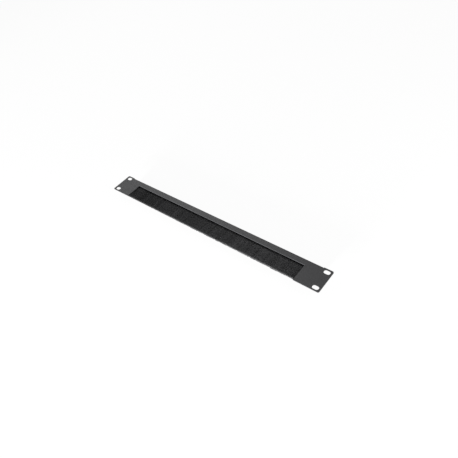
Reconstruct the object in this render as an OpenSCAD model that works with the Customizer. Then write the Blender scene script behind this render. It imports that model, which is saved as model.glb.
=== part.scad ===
// Rack brush strip panel: a 19-inch, one-unit blanking panel whose open-bottomed
// window is curtained by a strip brush, so that cables pass and air does not.
// X runs along the panel, +Y towards its folded top edge, +Z out of its front face.
// The origin is the middle of the four rack slots, on the back of the sheet.

/* [Front panel] */
// Width over both ears
panel_w = 482.6; // [478:0.1:500]
// Height of the ears, one rack unit less the stacking gap
panel_h = 43.65; // [42:0.05:46]
// Thickness of the folded steel sheet
sheet_t = 1.2; // [0.8:0.1:1.6]
// Radius of the outer ear corners
ear_corner_r = 2.5; // [0.5:0.5:6]
// From an ear's outer edge to the end of the fold
ear_reveal = 18; // [16:0.1:22]
// How far the folded edge lies below the top of the ears
fold_set_down = 0.25; // [0:0.05:2]
// Inside radius of the fold
fold_inner_r = 0.5; // [0.4:0.1:1.2]
// Depth of the top flange, from the front face to its rear edge
flange_d = 13.5; // [13:0.5:25]
// Radius of the flange's rear corners
flange_corner_r = 3; // [1:0.5:5]
// Width of the relief notch at each end of the fold
relief_w = 1; // [0.6:0.1:2]
// How far the relief notch reaches below the fold
relief_extra = 0.4; // [0.2:0.1:1]

/* [Rack slots] */
// From an ear's outer edge to the middle of its slots
slot_edge = 8.75; // [8:0.05:9.5]
// Distance between the slot rows
slot_pitch_y = 31.75; // [31:0.05:32.5]
// Length of a slot over its round ends
slot_l = 11; // [8:0.5:12]
// Width of a slot
slot_w = 7; // [5:0.5:7.5]

/* [Cable window] */
// From an ear's outer edge to the side of the window
window_side = 44.8; // [42:0.1:90]
// From the top of the ears down to the window's upper edge
window_drop = 11.2; // [10.8:0.1:13]
// Radius of the window's upper corners
window_corner_r = 1; // [0.5:0.5:4]
// Radius where the window's sides meet the panel's lower edge
window_foot_r = 0.8; // [0.2:0.2:2]

/* [Brush strip] */
// How far the brush, its channel and its wire reach past each side of the window
brush_overlap = 8.5; // [5:0.5:11]
// From the bristle tips down to the panel's lower edge
tip_gap = 2.2; // [1:0.2:10]
// Spread between the shortest and the longest tuft
tip_spread = 1; // [0.4:0.2:4]
// Width of one tuft
tuft_pitch = 3.2; // [2.6:0.1:8]
// Opening between two tufts at their tips
tuft_gap = 0.5; // [0.2:0.1:1]
// Outward lean of the front and back rows of tufts, in degrees
row_lean = 0.9; // [0.4:0.1:1.2]
// Diameter of the wire that the bristles are folded over
wire_d = 1; // [0.6:0.1:1.2]

/* [Brush channel] */
// Width over the crimped steel channel
channel_w = 3; // [2.6:0.1:3.4]
// Height of the channel
channel_h = 6.2; // [4:0.1:6.6]
// Thickness of the channel's strip steel
channel_t = 0.4; // [0.3:0.05:0.5]

/* [Holder profile] */
// How far the holder reaches past each end of the brush
holder_overlap = 5; // [1:0.5:6]
// Thickness of the holder's pocket walls
pocket_wall = 0.8; // [0.6:0.1:1]
// Thickness of the leg that is riveted to the flange
leg_t = 1.2; // [1:0.1:1.5]
// How far each lip under the pocket grips inwards
pocket_lip = 0.35; // [0.2:0.05:0.4]
// Height of those lips
lip_h = 0.5; // [0.4:0.1:0.8]
// Running gap between the channel and each pocket wall
channel_clearance = 0.1; // [0.05:0.05:0.15]
// From the flange's rear edge to the holder's rear edge
leg_set_in = 0.8; // [0.4:0.1:1.2]

/* [Rivets] */
// Number of blind rivets along the flange
rivet_count = 7; // [3:1:9]
// From the holder's end to the first rivet
rivet_end = 12; // [8:1:30]
// Diameter of the set rivet's shank, which fills its hole
rivet_d = 3.2; // [2.8:0.1:3.4]
// Diameter of the countersunk head, flush with the flange
rivet_head_d = 5.4; // [4.8:0.1:6]
// Depth of the countersink
rivet_head_h = 0.9; // [0.6:0.1:1.1]
// Diameter of the bulb on the blind side
rivet_bulb_d = 4.6; // [4.2:0.1:5]
// Length of that bulb
rivet_bulb_l = 3.6; // [2.5:0.1:4]
// Diameter of the broken mandrel left in the rivet
mandrel_d = 1.8; // [1.4:0.1:2]

/* [Hidden] */
$fn = 48;
// Overlap of a cutting tool past the face that it leaves by
past = 1;
fold_l = panel_w - 2 * ear_reveal;
slot_pitch_x = panel_w - 2 * slot_edge;
window_w = panel_w - 2 * window_side;
brush_l = window_w + 2 * brush_overlap;
holder_l = brush_l + 2 * holder_overlap;
fold_outer_r = fold_inner_r + sheet_t;
panel_top = panel_h / 2;
fold_top = panel_top - fold_set_down;
fold_start = fold_top - fold_outer_r;
flange_under = fold_top - sheet_t;
window_top = panel_top - window_drop;
// Depths are measured back from the sheet's back face
flange_rear = flange_d - sheet_t;
leg_rear = flange_rear - leg_set_in;
leg_under = flange_under - leg_t;
pocket_w = channel_w + 2 * channel_clearance;
pocket_rear = 2 * pocket_wall + pocket_w;
pocket_mouth = leg_under - channel_h - lip_h;
brush_depth = pocket_wall + pocket_w / 2;
bundle_t = channel_w - 2 * channel_t;
channel_mouth = leg_under - channel_h;
wire_y = leg_under - channel_t - bundle_t / 2;
tip_y = tip_gap - panel_h / 2;
rivet_depth = (pocket_rear + leg_rear) / 2;
rivet_pitch = (holder_l - 2 * rivet_end) / (rivet_count - 1);
// Width of the drilling groove under the holder's leg
groove_w = 0.6;
// Radius of the holder's rear edge
leg_edge_r = leg_t / 3;
// How far the mandrel's broken end lies below the rivet's head
mandrel_sink = 0.3;
// Height of the mandrel's head
mandrel_head_h = mandrel_d / 3;
// Height of the cone between a rivet's shank and its bulb
bulb_cone_h = rivet_bulb_d / 4;
tuft_count = floor(brush_l / tuft_pitch);
tuft_w = brush_l / tuft_count;
row_t = bundle_t / 3;
// Where the rows start to lean, just clear of the channel's mouth
hinge_y = channel_mouth - row_t * sin(row_lean);
RIVETS = [for (i = [1 : rivet_count]) i];

function rivet_x(i) = -holder_l / 2 + rivet_end + (i - 1) * rivet_pitch;

// Runs a section, drawn as (depth behind the sheet, height), along the panel
module along_panel(length) {
    rotate([0, 90, 0])
        linear_extrude(height = length, center = true)
            children();
}

// Stands children on the flange at rivet i, with their +Z along the panel's +Y
module at_rivet(i) {
    translate([rivet_x(i), fold_top, -rivet_depth])
        rotate([-90, 0, 0])
            children();
}

// The countersunk head of a rivet, its flat on the flange's outer face at Z=0
module rivet_head() {
    translate([0, 0, -rivet_head_h])
        cylinder(h = rivet_head_h, d1 = rivet_d, d2 = rivet_head_d);
}

// The hole and countersink for one rivet, cut through the flange and the leg
module rivet_hole() {
    rivet_head();
    cylinder(h = past, d = rivet_head_d);
    translate([0, 0, -sheet_t - leg_t - past])
        cylinder(h = sheet_t + leg_t + past, d = rivet_d);
}

module rounded_rectangle(w, h, r) {
    square([w - 2 * r, h], center = true);
    square([w, h - 2 * r], center = true);
    for (x = [-1, 1], y = [-1, 1])
        translate([x * (w / 2 - r), y * (h / 2 - r)])
            circle(r);
}

// The piece that is cut away to round a corner; the corner is at the origin
// and the material lies towards -X and -Y
module corner_waste(r) {
    difference() {
        translate([-r, -r])
            square(r + past);
        translate([-r, -r])
            circle(r);
    }
}

module rack_slot() {
    square([slot_l - slot_w, slot_w], center = true);
    for (x = [-1, 1])
        translate([x * (slot_l - slot_w) / 2, 0])
            circle(d = slot_w);
}

module window_outline() {
    difference() {
        translate([-window_w / 2, -panel_h / 2 - past])
            square([window_w, window_top + panel_h / 2 + past]);
        for (x = [-1, 1])
            scale([x, 1])
                translate([window_w / 2, window_top])
                    corner_waste(window_corner_r);
    }
    for (x = [-1, 1])
        scale([-x, 1])
            translate([-window_w / 2, -panel_h / 2])
                scale([1, -1])
                    corner_waste(window_foot_r);
}

// The flat of the panel: everything below the fold, with both ears
module flat_outline() {
    difference() {
        rounded_rectangle(panel_w, panel_h, ear_corner_r);
        window_outline();
        for (x = [-1, 1], y = [-1, 1])
            translate([x * slot_pitch_x / 2, y * slot_pitch_y / 2])
                rack_slot();
        translate([-fold_l / 2, fold_start])
            square([fold_l, panel_h]);
        for (x = [-1, 1])
            translate([x * (fold_l + relief_w) / 2, fold_start - relief_extra + panel_h / 2])
                square([relief_w, panel_h], center = true);
    }
}

// Section of the fold and the top flange
module fold_section() {
    translate([-sheet_t + fold_outer_r, flange_under])
        square([flange_d - fold_outer_r, sheet_t]);
    difference() {
        translate([-sheet_t + fold_outer_r, fold_start])
            circle(fold_outer_r);
        translate([-sheet_t + fold_outer_r, fold_start])
            circle(fold_inner_r);
        translate([-sheet_t - past, fold_start - fold_outer_r - past])
            square([2 * (fold_outer_r + past), fold_outer_r + past]);
        translate([-sheet_t + fold_outer_r, fold_start - past])
            square(2 * fold_outer_r + 2 * past);
    }
}

module front_panel() {
    color([0.11, 0.11, 0.12])
        difference() {
            union() {
                linear_extrude(height = sheet_t)
                    flat_outline();
                along_panel(fold_l)
                    fold_section();
            }
            for (x = [-1, 1])
                translate([x * fold_l / 2, fold_top + past, -flange_rear])
                    rotate([90, 0, 0])
                        linear_extrude(height = sheet_t + 2 * past)
                            scale([x, -1])
                                corner_waste(flange_corner_r);
            for (i = RIVETS)
                at_rivet(i)
                    rivet_hole();
        }
}

// Section of the extruded holder: a leg under the flange and a lipped pocket
module holder_section() {
    difference() {
        union() {
            translate([0, leg_under])
                square([leg_rear, leg_t]);
            translate([0, pocket_mouth])
                square([pocket_rear, leg_under - pocket_mouth]);
        }
        translate([pocket_wall, channel_mouth])
            square([pocket_w, leg_under - channel_mouth]);
        translate([pocket_wall + pocket_lip, pocket_mouth - past])
            square([pocket_w - 2 * pocket_lip, channel_mouth - pocket_mouth + 2 * past]);
        translate([0, leg_under + leg_t])
            scale([-1, 1])
                corner_waste(fold_inner_r + channel_clearance);
        translate([leg_rear, leg_under + leg_t])
            corner_waste(leg_edge_r);
        translate([rivet_depth, leg_under])
            circle(d = groove_w, $fn = 4);
    }
}

module brush_holder() {
    color([0.62, 0.63, 0.65])
        difference() {
            along_panel(holder_l)
                holder_section();
            for (i = RIVETS)
                at_rivet(i)
                    rivet_hole();
        }
}

// Section of the channel, with a round crown over the folded bristles
module channel_section() {
    translate([brush_depth, wire_y])
        difference() {
            union() {
                circle(d = channel_w);
                translate([-channel_w / 2, channel_mouth - wire_y])
                    square([channel_w, wire_y - channel_mouth]);
            }
            circle(d = bundle_t);
            translate([-bundle_t / 2, channel_mouth - wire_y - past])
                square([bundle_t, wire_y - channel_mouth + past]);
        }
}

module brush_channel() {
    color([0.70, 0.71, 0.72])
        along_panel(brush_l)
            channel_section();
}

module core_wire() {
    color([0.55, 0.56, 0.58])
        along_panel(brush_l)
            translate([brush_depth, wire_y])
                circle(d = wire_d);
}

// Front view of one row of tufts. Between two tufts a narrow slit closes
// somewhere up the bristles, and every tip has its own length and slant.
module tuft_row(seed, top) {
    reach = tip_y + tip_spread;
    slit = rands(0.15, 0.9, tuft_count + 1, seed);
    drop = rands(0, tip_spread, tuft_count, seed + 1);
    slant = rands(-0.4, 0.4, tuft_count, seed + 2);
    shift = rands(-0.25, 0.25, tuft_count + 1, seed + 3);
    left = -brush_l / 2;
    points = [
        for (i = [0 : tuft_count - 1])
            let (
                x0 = left + (i + (i == 0 ? 0 : shift[i])) * tuft_w,
                x1 = left + (i + 1 + (i == tuft_count - 1 ? 0 : shift[i + 1])) * tuft_w,
                y = reach - drop[i]
            )
            each [
                [x0, i == 0 ? top : y + slit[i] * (channel_mouth - reach)],
                [x0 + tuft_gap / 2, y + (0.4 - slant[i]) * tuft_gap],
                [x1 - tuft_gap / 2, y + (0.4 + slant[i]) * tuft_gap]
            ],
        [left + brush_l, top]
    ];
    polygon(points);
}

// One row of tufts, hinged just under the channel's mouth: the front row (-1) and
// the back row (1) lean away from the straight row (0) between them
module leaning_row(row, seed) {
    hinge = brush_depth + row * row_t / 2;
    translate([0, hinge_y, -hinge])
        rotate([row * row_lean, 0, 0])
            translate([0, -hinge_y, hinge - brush_depth - (row + 0.5) * row_t])
                linear_extrude(height = row_t)
                    tuft_row(seed, channel_mouth + bundle_t / 2);
}

module bristles() {
    color([0.08, 0.08, 0.09])
        union() {
            along_panel(brush_l)
                translate([brush_depth, wire_y])
                    difference() {
                        union() {
                            circle(d = bundle_t);
                            translate([-bundle_t / 2, hinge_y - wire_y])
                                square([bundle_t, wire_y - hinge_y]);
                        }
                        circle(d = wire_d);
                    }
            for (row = [-1 : 1])
                leaning_row(row, 17 + 10 * row);
        }
}

// A set blind rivet: countersunk head in the flange, bulb behind the holder's leg.
// Its local Z=0 is the flange's outer face.
module rivet() {
    grip = sheet_t + leg_t;
    color([0.72, 0.73, 0.75])
        difference() {
            union() {
                rivet_head();
                translate([0, 0, -grip])
                    cylinder(h = grip - rivet_head_h, d = rivet_d);
                translate([0, 0, -grip - rivet_bulb_l])
                    cylinder(h = rivet_bulb_l - bulb_cone_h, d = rivet_bulb_d);
                translate([0, 0, -grip - bulb_cone_h])
                    cylinder(h = bulb_cone_h, d1 = rivet_bulb_d, d2 = rivet_d);
            }
            translate([0, 0, -grip - rivet_bulb_l - past])
                cylinder(h = grip + rivet_bulb_l + 2 * past, d = mandrel_d);
        }
}

// The broken mandrel: its head stays below the bulb, its stem inside the rivet
module mandrel() {
    bottom = -sheet_t - leg_t - rivet_bulb_l;
    color([0.45, 0.45, 0.47]) {
        translate([0, 0, bottom])
            cylinder(h = -mandrel_sink - bottom, d = mandrel_d);
        translate([0, 0, bottom - mandrel_head_h])
            cylinder(h = mandrel_head_h, d = rivet_d);
    }
}

front_panel();
brush_holder();
brush_channel();
core_wire();
bristles();
for (i = RIVETS) {
    at_rivet(i) rivet();
    at_rivet(i) mandrel();
}
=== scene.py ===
"""Rack brush strip panel, dressed for its picture.

Powder-coated sheet, bare aluminium holder, galvanised channel and separate bristles.
"""

import math

import bpy
import numpy as np
from mathutils import Matrix, Vector


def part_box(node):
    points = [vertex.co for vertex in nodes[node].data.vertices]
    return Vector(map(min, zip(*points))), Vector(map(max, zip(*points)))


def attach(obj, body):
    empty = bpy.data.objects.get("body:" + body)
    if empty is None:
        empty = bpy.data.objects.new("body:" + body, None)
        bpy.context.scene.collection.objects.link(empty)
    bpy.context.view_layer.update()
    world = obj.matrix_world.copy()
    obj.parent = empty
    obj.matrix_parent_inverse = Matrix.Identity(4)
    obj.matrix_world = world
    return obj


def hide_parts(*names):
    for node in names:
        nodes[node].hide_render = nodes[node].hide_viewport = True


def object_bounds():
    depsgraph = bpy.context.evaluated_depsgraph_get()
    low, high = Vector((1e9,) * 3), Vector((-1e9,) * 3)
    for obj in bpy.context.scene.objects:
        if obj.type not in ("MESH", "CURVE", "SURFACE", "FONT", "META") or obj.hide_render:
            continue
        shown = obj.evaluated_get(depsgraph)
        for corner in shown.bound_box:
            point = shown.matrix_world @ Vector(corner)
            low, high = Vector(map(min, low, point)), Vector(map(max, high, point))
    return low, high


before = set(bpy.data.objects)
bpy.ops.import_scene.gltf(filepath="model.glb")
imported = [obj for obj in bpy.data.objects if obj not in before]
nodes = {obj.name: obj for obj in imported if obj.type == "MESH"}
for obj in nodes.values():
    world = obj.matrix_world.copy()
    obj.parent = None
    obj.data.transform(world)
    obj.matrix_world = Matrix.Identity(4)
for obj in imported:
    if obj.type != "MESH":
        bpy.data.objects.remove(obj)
scene = bpy.context.scene
cad_low, cad_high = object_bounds()


# ---------------------------------------------------------------- camera
# The panel is looked at from its lower right, a little over half a metre above
# its face. The camera is turned a few degrees about its own line of sight.
_, panel_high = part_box("front_panel")
aim = Vector((0.04376, 0.01005, panel_high.z))
camera_distance = 0.7607
camera_azimuth = math.radians(51.39)
camera_elevation = math.radians(45.275)
camera_roll = math.radians(-16.045)
camera_focal_mm = 34.857

towards_camera = Vector(
    (
        math.sin(camera_azimuth) * math.cos(camera_elevation),
        -math.cos(camera_azimuth) * math.cos(camera_elevation),
        math.sin(camera_elevation),
    )
)
camera_data = bpy.data.cameras.new("camera")
camera_data.lens = camera_focal_mm
camera_data.sensor_width = 36.0
camera_data.clip_start = 0.01
camera_data.clip_end = 20.0
camera = bpy.data.objects.new("camera", camera_data)
scene.collection.objects.link(camera)
level = (-towards_camera).to_track_quat("-Z", "Y").to_matrix().to_4x4()
camera.matrix_world = (
    Matrix.Translation(aim + camera_distance * towards_camera)
    @ level
    @ Matrix.Rotation(camera_roll, 4, "Z")
)
scene.camera = camera
scene.view_settings.view_transform = "Standard"


# ---------------------------------------------------------------- front panel
# One sheet of cold-rolled steel, punched, folded along its top edge and powder
# coated in satin black. The coat has a fine orange-peel grain and rounds the edges.
powder_black = (0.023, 0.023, 0.0245, 1.0)
powder_pale = (0.033, 0.033, 0.0345, 1.0)
coat_grain = 0.0007
coat_edge_radius = 0.00045
grain_octaves = 2.0
drift_per_metre = 14.0
drift_octaves = 3.0
grain_range = (0.3, 0.7)  # where nearly all of the noise's values lie


def grain_group():
    """A shader group: fine grain of a given size as a height, and a slow drift from 0 to 1.

    The grain is noise of frequency 1 / size on coordinates times the stretch. The drift is
    noise of one low frequency, the same for every finish.
    """
    group = bpy.data.node_groups.new("surface_grain", "ShaderNodeTree")
    socket = group.interface.new_socket("Size", in_out="INPUT", socket_type="NodeSocketFloat")
    socket.default_value = 0.001
    group.interface.new_socket("Stretch", in_out="INPUT", socket_type="NodeSocketVector")
    group.interface.new_socket("Grain", in_out="OUTPUT", socket_type="NodeSocketFloat")
    group.interface.new_socket("Drift", in_out="OUTPUT", socket_type="NodeSocketFloat")
    made, link = group.nodes.new, group.links.new
    inputs = made("NodeGroupInput")
    outputs = made("NodeGroupOutput")
    place = made("ShaderNodeTexCoord")
    stretched = made("ShaderNodeVectorMath")
    stretched.operation = "MULTIPLY"
    link(place.outputs["Object"], stretched.inputs[0])
    link(inputs.outputs["Stretch"], stretched.inputs[1])
    frequency = made("ShaderNodeMath")
    frequency.operation = "DIVIDE"
    frequency.inputs[0].default_value = 1.0
    link(inputs.outputs["Size"], frequency.inputs[1])
    fine = made("ShaderNodeTexNoise")
    fine.inputs["Detail"].default_value = grain_octaves
    link(stretched.outputs[0], fine.inputs["Vector"])
    link(frequency.outputs[0], fine.inputs["Scale"])
    slow = made("ShaderNodeTexNoise")
    slow.inputs["Scale"].default_value = drift_per_metre
    slow.inputs["Detail"].default_value = drift_octaves
    link(place.outputs["Object"], slow.inputs["Vector"])
    link(fine.outputs["Fac"], outputs.inputs["Grain"])
    link(slow.outputs["Fac"], outputs.inputs["Drift"])
    return group


surface_grain = grain_group()


def finish_material(name, dark, light, size, stretch, bump, rough, metallic):
    """A Principled material, and its bump node.

    Colour goes from dark to light by the mean of grain and drift, and roughness between its two
    values by grain. The grain is also the bump's height, a quarter of its size deep.
    """
    material = bpy.data.materials.new(name)
    material.use_nodes = True
    tree = material.node_tree
    made, link = tree.nodes.new, tree.links.new
    shader = tree.nodes["Principled BSDF"]
    shader.inputs["Metallic"].default_value = metallic
    grain = made("ShaderNodeGroup")
    grain.node_tree = surface_grain
    grain.inputs["Size"].default_value = size
    grain.inputs["Stretch"].default_value = stretch
    blend = made("ShaderNodeMix")
    blend.data_type = "RGBA"
    blend.inputs["A"].default_value = dark
    blend.inputs["B"].default_value = light
    mean = made("ShaderNodeMath")
    mean.operation = "MULTIPLY_ADD"
    mean.inputs[1].default_value = 0.5
    link(grain.outputs["Grain"], mean.inputs[0])
    half = made("ShaderNodeMath")
    half.operation = "MULTIPLY"
    half.inputs[1].default_value = 0.5
    link(grain.outputs["Drift"], half.inputs[0])
    link(half.outputs[0], mean.inputs[2])
    link(mean.outputs[0], blend.inputs["Factor"])
    link(blend.outputs["Result"], shader.inputs["Base Color"])
    roughness = made("ShaderNodeMapRange")
    roughness.inputs["From Min"].default_value = grain_range[0]
    roughness.inputs["From Max"].default_value = grain_range[1]
    roughness.inputs["To Min"].default_value = rough[0]
    roughness.inputs["To Max"].default_value = rough[1]
    link(grain.outputs["Grain"], roughness.inputs["Value"])
    link(roughness.outputs["Result"], shader.inputs["Roughness"])
    relief = made("ShaderNodeBump")
    relief.inputs["Strength"].default_value = bump
    relief.inputs["Distance"].default_value = size / 4
    link(grain.outputs["Grain"], relief.inputs["Height"])
    link(relief.outputs["Normal"], shader.inputs["Normal"])
    return material, relief


def dress(node, material):
    """Gives a CAD node its material in place of the plain one that it came with."""
    nodes[node].data.materials.clear()
    nodes[node].data.materials.append(material)


powder_coat, coat_relief = finish_material(
    "powder_coat",
    dark=powder_black,
    light=powder_pale,
    size=coat_grain,
    stretch=(1, 1, 1),
    bump=0.35,
    rough=(0.42, 0.58),
    metallic=0.0,
)
edge_round = powder_coat.node_tree.nodes.new("ShaderNodeBevel")
edge_round.samples = 6
edge_round.inputs["Radius"].default_value = coat_edge_radius
powder_coat.node_tree.links.new(edge_round.outputs["Normal"], coat_relief.inputs["Normal"])
dress("front_panel", powder_coat)


# ---------------------------------------------------------------- brush holder
# An extruded aluminium profile under the flange, left as it came from the die,
# with fine draw lines along its length.
mill_aluminium, _ = finish_material(
    "mill_aluminium",
    dark=(0.50, 0.51, 0.53, 1),
    light=(0.66, 0.67, 0.69, 1),
    size=0.0004,
    stretch=(0.02, 1, 1),
    bump=0.25,
    rough=(0.42, 0.6),
    metallic=1.0,
)
dress("brush_holder", mill_aluminium)


# ---------------------------------------------------------------- channel and wire
# Galvanised strip steel crimped over the bristles, and the drawn wire that they
# are folded round. Both are seen only at the strip's two ends.
galvanised_steel, _ = finish_material(
    "galvanised_steel",
    dark=(0.40, 0.41, 0.43, 1),
    light=(0.62, 0.63, 0.65, 1),
    size=0.004,
    stretch=(0.4, 1, 1),
    bump=0.12,
    rough=(0.5, 0.7),
    metallic=1.0,
)
dress("brush_channel", galvanised_steel)
dress("core_wire", galvanised_steel)


# ---------------------------------------------------------------- bristles
# Black nylon filaments, about a quarter of a millimetre thick, folded over the
# wire and cut to length. They hang in three rows and gather into clumps. Towards
# the right their tips are more ragged. The filaments and their paler tips are also
# painted paler there, as painted light standing for the light that falls on that end.
bristle_low, bristle_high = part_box("bristles")
channel_low, channel_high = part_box("brush_channel")
filament_radius = 0.00012
filaments_per_row = 5300
filament_sides = 3
filament_rings = np.array([0, 0.25, 0.5, 0.75, 0.97, 1])
bundle_width = 0.0022
row_width = bundle_width / 3
row_lean = math.radians(0.9)
root_inset = 0.0015
ragged_left = 0.0003
ragged_right = 0.0013
# How far short filaments are cut, as shares of the raggedness: by chance, by clump,
# and in slow waves along the strip.
filament_shortfall = 0.3
clump_shortfall = 0.6
wave_shortfall = 0.2
wave_length = 0.02
shortfall_most = 2
# Wear grows from the left. The same value makes the tips ragged and paints filaments and tips
# paler to the right, as painted light.
wear_and_light_growth, wear_and_light_delay = 1.4, 0.1
# The clumps' width, how far clumps and filaments wander in metres, the share of the way
# to its clump's middle that a filament may be drawn, and the core row's share of it all.
clump_width = 0.0055
clump_lean_spread = 0.0003
stray_spread = 0.00022
bow_spread = 0.00028
depth_spread = 0.0001
depth_curve = 1.5
clump_pull_most = 0.10
core_looseness = 0.2
tip_narrowing = 0.55
bristle_seed = 40
# What makes a filament pale, as shares: its own random tone, its clump's, and the painted light
# that pales the right end; and the colours that it and its tip run between.
shade_of_filament, shade_of_clump, shade_of_painted_light = 0.05, 0.4, 0.55
nylon_dark = (0.006, 0.006, 0.0063, 1)
nylon_pale = (0.041, 0.041, 0.043, 1)
tip_dark = (0.02, 0.02, 0.02, 1)
tip_pale = (0.04, 0.04, 0.041, 1)
tip_colour_from = 0.88
nylon_specular = 0.3
nylon_roughness = 0.65


def smooth_noise(position, spacing, random):
    """Values from -1 to 1 that change smoothly along a line.

    Random knots stand one spacing apart, and half a cosine wave joins each to the next.
    """
    knots = random.uniform(-1, 1, int((position.max() - position.min()) / spacing) + 3)
    at = (position - position.min()) / spacing
    low = at.astype(int)
    part = 0.5 - 0.5 * np.cos(np.pi * (at - low))
    return knots[low] * (1 - part) + knots[low + 1] * part


def filament_rows(row, seed):
    """Points of every filament in a row, from root to tip, with each one's shade, and its wear
    and painted light.

    The core row (0) is the straightest, and shuts the gaps between the outer rows' clumps.
    A filament starts in its row's share of the bundle, leans out with the row, is drawn to
    the middle of its clump by the square of the way down, bows a little, and ends at its own
    length. Wear and painted light is 0 at the left end, and grows evenly to 1 well before the
    right end. It makes the tips ragged, and paints the filaments paler as painted light.
    """
    random = np.random.default_rng(seed)
    count = filaments_per_row
    edge = filament_radius * 2
    low, high = bristle_low.x + edge, bristle_high.x - edge
    x = low + (np.arange(count) + random.uniform(0, 1, count)) * (high - low) / count
    depth = row * row_width + random.uniform(-0.5, 0.5, count) * (row_width - 2 * filament_radius)

    clump_count = int((high - low) / clump_width)
    clump_edges = np.sort(random.uniform(low, high, clump_count))
    clump = np.searchsorted(clump_edges, x)
    clump_size = np.bincount(clump, minlength=clump_count + 1)
    clump_total = np.bincount(clump, weights=x, minlength=clump_count + 1)
    clump_middle = clump_total / np.maximum(clump_size, 1)
    loose = 1.0 if row else core_looseness
    clump_lean = loose * random.normal(0, clump_lean_spread, clump_count + 1)
    clump_pull = loose * random.uniform(0, clump_pull_most, clump_count + 1)
    clump_depth = random.normal(0, depth_spread, clump_count + 1)
    clump_short = random.uniform(0, clump_shortfall, clump_count + 1)

    along = filament_rings[None, :]
    pull = clump_pull[clump][:, None] * along**2 * (clump_middle[clump] - x)[:, None]
    stray = loose * random.normal(0, stray_spread, count)[:, None] * along
    bow = loose * random.normal(0, bow_spread, count)[:, None] * np.sin(np.pi * along) * along
    px = x[:, None] + pull + stray + bow + clump_lean[clump][:, None] * along

    wave = smooth_noise(x, wave_length, random)
    own_short = np.abs(random.normal(0, filament_shortfall, count))
    short = own_short + clump_short[clump] + wave_shortfall * (1 + wave)
    # Wear grows to the right. It makes the tips ragged, and in the colours it is painted light, a
    # paleness standing for light on the right end.
    wear_and_painted_light = np.clip((x - low) / (high - low) * wear_and_light_growth - wear_and_light_delay, 0, 1)
    ragged = ragged_left + (ragged_right - ragged_left) * wear_and_painted_light
    tip = bristle_low.y + ragged * np.clip(short, 0, shortfall_most)
    root = channel_low.y + root_inset
    py = root + (tip - root)[:, None] * along

    middle = (channel_low.z + channel_high.z) / 2
    below = np.maximum(channel_low.y - py, 0)
    pz = middle - depth[:, None] - row * np.tan(row_lean) * below
    own_depth = random.normal(0, depth_spread, count)
    pz = pz + (clump_depth[clump] + own_depth)[:, None] * along**depth_curve

    own_shade = random.uniform(0, 1, count)
    clump_shade = random.uniform(0, 1, clump_count + 1)[clump]
    # The shade is the filament's own random tone and its clump's, plus painted light that makes
    # the right end paler.
    shade = (
        shade_of_filament * own_shade + shade_of_clump * clump_shade + shade_of_painted_light * wear_and_painted_light
    )
    return np.stack([px, py, pz], axis=2), shade, wear_and_painted_light


def filament_mesh(name, path, shade, wear_and_painted_light):
    """One mesh of closed tubes: a ring about each point of a path, narrower at the last.

    Ring corners stand in the X-Z plane, which the filaments cross almost squarely, at even
    angles from a random start. The attributes hold each filament's shade, its wear and
    painted light, and how far along it a point lies.
    """
    count, rings, _ = path.shape
    sides = filament_sides
    turn = np.random.default_rng(count).uniform(0, 2 * np.pi, count)[:, None]
    angle = turn + np.arange(sides)[None, :] * 2 * np.pi / sides
    circle = np.stack([np.cos(angle), np.zeros_like(angle), np.sin(angle)], axis=2)
    radius = np.full(rings, filament_radius)
    radius[-1] *= tip_narrowing
    corner = path[:, :, None, :] + circle[:, None, :, :] * radius[None, :, None, None]
    base = (np.arange(count) * rings * sides)[:, None, None]
    ring = (np.arange(rings - 1) * sides)[None, :, None]
    side = np.arange(sides)[None, None, :]
    after = (side + 1) % sides
    a, b = base + ring + side, base + ring + after
    quads = np.stack([a, b, b + sides, a + sides], axis=3).reshape(-1, 4)
    first = base[:, 0, :] + np.arange(sides)[None, ::-1]
    last = base[:, 0, :] + (rings - 1) * sides + np.arange(sides)[None, :]
    caps = np.concatenate([first, last])

    mesh = bpy.data.meshes.new(name)
    mesh.vertices.add(corner.size // 3)
    mesh.vertices.foreach_set("co", corner.reshape(-1))
    loops = np.concatenate([quads.reshape(-1), caps.reshape(-1)])
    totals = np.concatenate([np.full(len(quads), 4), np.full(len(caps), sides)])
    mesh.loops.add(len(loops))
    mesh.loops.foreach_set("vertex_index", loops)
    mesh.polygons.add(len(totals))
    mesh.polygons.foreach_set("loop_start", np.cumsum(totals) - totals)
    mesh.polygons.foreach_set("loop_total", totals)
    mesh.polygons.foreach_set("use_smooth", totals == 4)
    mesh.update(calc_edges=True)
    # The wear attribute also carries the painted light that pales the right end.
    for key, value in (
        ("shade", np.repeat(shade, rings * sides)),
        ("wear_and_painted_light", np.repeat(wear_and_painted_light, rings * sides)),
        ("along", np.tile(np.repeat(filament_rings, sides), count)),
    ):
        layer = mesh.attributes.new(key, "FLOAT", "POINT")
        layer.data.foreach_set("value", value.astype(np.float32))
    mesh.validate()
    return mesh


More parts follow.
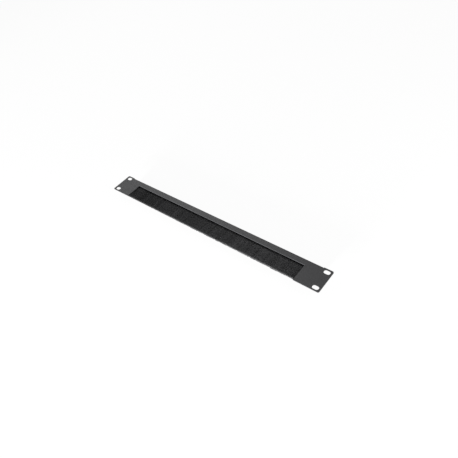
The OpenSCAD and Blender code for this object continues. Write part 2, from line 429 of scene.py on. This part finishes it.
def bristle_material():
    """Black nylon: each filament as pale as its shade, with a matt tip as pale as its wear and
    painted light, which pales the right end.
    """
    material = bpy.data.materials.new("bristle_nylon")
    material.use_nodes = True
    tree = material.node_tree
    made, link = tree.nodes.new, tree.links.new
    shader = tree.nodes["Principled BSDF"]
    shade = made("ShaderNodeAttribute")
    shade.attribute_name = "shade"
    along = made("ShaderNodeAttribute")
    along.attribute_name = "along"
    body = made("ShaderNodeValToRGB")
    body.color_ramp.elements[0].color = nylon_dark
    body.color_ramp.elements[1].color = nylon_pale
    link(shade.outputs["Fac"], body.inputs["Fac"])
    # Tips painted paler towards the right, as painted light on that end.
    wear_and_painted_light = made("ShaderNodeAttribute")
    wear_and_painted_light.attribute_name = "wear_and_painted_light"
    tip_tone = made("ShaderNodeValToRGB")
    tip_tone.color_ramp.elements[0].color = tip_dark
    tip_tone.color_ramp.elements[1].color = tip_pale
    link(wear_and_painted_light.outputs["Fac"], tip_tone.inputs["Fac"])
    tip = made("ShaderNodeMapRange")
    tip.inputs["From Min"].default_value = tip_colour_from
    link(along.outputs["Fac"], tip.inputs["Value"])
    colour = made("ShaderNodeMix")
    colour.data_type = "RGBA"
    link(tip.outputs["Result"], colour.inputs["Factor"])
    link(body.outputs["Color"], colour.inputs["A"])
    link(tip_tone.outputs["Color"], colour.inputs["B"])
    link(colour.outputs["Result"], shader.inputs["Base Color"])
    gloss = made("ShaderNodeMapRange")
    gloss.inputs["To Min"].default_value = nylon_specular
    gloss.inputs["To Max"].default_value = 0.0
    link(tip.outputs["Result"], gloss.inputs["Value"])
    link(gloss.outputs["Result"], shader.inputs["Specular IOR Level"])
    shader.inputs["Roughness"].default_value = nylon_roughness
    return material


bristle_nylon = bristle_material()
for row, row_name in ((-1, "bristles_front"), (0, "bristles_core"), (1, "bristles_back")):
    filaments = filament_mesh(row_name, *filament_rows(row, bristle_seed + row))
    piece = bpy.data.objects.new(row_name, filaments)
    piece.data.materials.append(bristle_nylon)
    scene.collection.objects.link(piece)
    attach(piece, "root")
    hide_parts("bristles")


# ---------------------------------------------------------------- rivets
# Blind rivets through the flange and the holder's leg: soft aluminium bodies
# with a flush head, each holding the broken end of its steel mandrel.
rivet_aluminium, _ = finish_material(
    "rivet_aluminium",
    dark=(0.60, 0.61, 0.63, 1),
    light=(0.74, 0.75, 0.77, 1),
    size=0.0006,
    stretch=(1, 1, 1),
    bump=0.15,
    rough=(0.25, 0.42),
    metallic=1.0,
)
mandrel_steel, _ = finish_material(
    "mandrel_steel",
    dark=(0.25, 0.25, 0.26, 1),
    light=(0.42, 0.42, 0.44, 1),
    size=0.0004,
    stretch=(1, 1, 1),
    bump=0.3,
    rough=(0.35, 0.6),
    metallic=1.0,
)
for name in nodes:
    if name.startswith("rivet_mandrel_"):
        dress(name, mandrel_steel)
    elif name.startswith("rivet_"):
        dress(name, rivet_aluminium)


# ---------------------------------------------------------------- floor
# A plain white sweep just under the flange's rear edge. It shows white to the
# camera and in reflections, and still takes the panel's soft shadow.
floor_size = 6.0
floor_drop = 0.0004
floor_shadow = 0.05


def floor_mesh():
    """A flat square, a grid of two by two points centred under the panel."""
    edge = np.array([-0.5, 0.5]) * floor_size
    x, y = np.meshgrid(edge, edge)
    points = np.stack([x.ravel(), y.ravel(), np.full(4, cad_low.z - floor_drop)], axis=1)
    mesh = bpy.data.meshes.new("floor")
    mesh.from_pydata(points.tolist(), [], [(0, 1, 3, 2)])
    return mesh


floor = bpy.data.objects.new("floor", floor_mesh())
scene.collection.objects.link(floor)
floor_white = bpy.data.materials.new("floor_white")
floor_white.use_nodes = True
floor_tree = floor_white.node_tree
matt = floor_tree.nodes["Principled BSDF"]
matt.inputs["Base Color"].default_value = (0.8, 0.8, 0.8, 1)
matt.inputs["Roughness"].default_value = 0.9
matt.inputs["Specular IOR Level"].default_value = 0.0
glow = floor_tree.nodes.new("ShaderNodeEmission")
rays = floor_tree.nodes.new("ShaderNodeLightPath")
seen = floor_tree.nodes.new("ShaderNodeMath")
seen.operation = "MAXIMUM"
floor_tree.links.new(rays.outputs["Is Camera Ray"], seen.inputs[0])
floor_tree.links.new(rays.outputs["Is Glossy Ray"], seen.inputs[1])
share = floor_tree.nodes.new("ShaderNodeMath")
share.operation = "MULTIPLY"
share.inputs[1].default_value = 1 - floor_shadow
floor_tree.links.new(seen.outputs[0], share.inputs[0])
mixed = floor_tree.nodes.new("ShaderNodeMixShader")
floor_tree.links.new(share.outputs[0], mixed.inputs["Fac"])
floor_tree.links.new(matt.outputs["BSDF"], mixed.inputs[1])
floor_tree.links.new(glow.outputs["Emission"], mixed.inputs[2])
floor_out = floor_tree.nodes["Material Output"]
floor_tree.links.new(mixed.outputs["Shader"], floor_out.inputs["Surface"])
floor.data.materials.append(floor_white)


# ---------------------------------------------------------------- light
# A wide lamp over the far left end, whose reflection fades along the panel to the
# right, and one beside the bristles' right end. Two low lamps in front pick out the
# lower edges; the stronger has no reflection, which would glare along the ears.
room_glow = 0.15


def soft_lamp(name, place, target, size, watts):
    """A square area lamp at a place, turned to face a target."""
    data = bpy.data.lights.new(name, "AREA")
    data.size = size
    data.energy = watts
    lamp = bpy.data.objects.new(name, data)
    lamp.location = place
    facing = Vector(target) - Vector(place)
    lamp.rotation_mode = "QUATERNION"
    lamp.rotation_quaternion = facing.to_track_quat("-Z", "Y")
    scene.collection.objects.link(lamp)
    return lamp


soft_lamp("key_lamp", place=(-0.98, 0.6, 1.1), target=(0, 0, 0), size=1.0, watts=7.5)
front_lamp = soft_lamp(
    "front_lamp", place=(0.1, -1.6, 0.13), target=(0, 0, 0), size=0.25, watts=190
)
front_lamp.visible_glossy = False
soft_lamp("edge_lamp", place=(-0.75, -0.97, 0.5), target=(0, 0, 0), size=0.5, watts=6)
soft_lamp("side_lamp", place=(0.75, 0.35, 0.35), target=(0.1, 0, 0), size=0.5, watts=4.5)
world = bpy.data.worlds.new("studio")
world.use_nodes = True
world_tree = world.node_tree
backdrop = world_tree.nodes["Background"]
backdrop.inputs["Color"].default_value = (1, 1, 1, 1)
world_rays = world_tree.nodes.new("ShaderNodeLightPath")
world_glow = world_tree.nodes.new("ShaderNodeMapRange")
world_glow.inputs["To Min"].default_value = room_glow
world_glow.inputs["To Max"].default_value = 1.0
world_tree.links.new(world_rays.outputs["Is Camera Ray"], world_glow.inputs["Value"])
world_tree.links.new(world_glow.outputs["Result"], backdrop.inputs["Strength"])
scene.world = world


# ---------------------------------------------------------------- sizes
# The view layer is brought up to date after dressing.
bpy.context.view_layer.update()
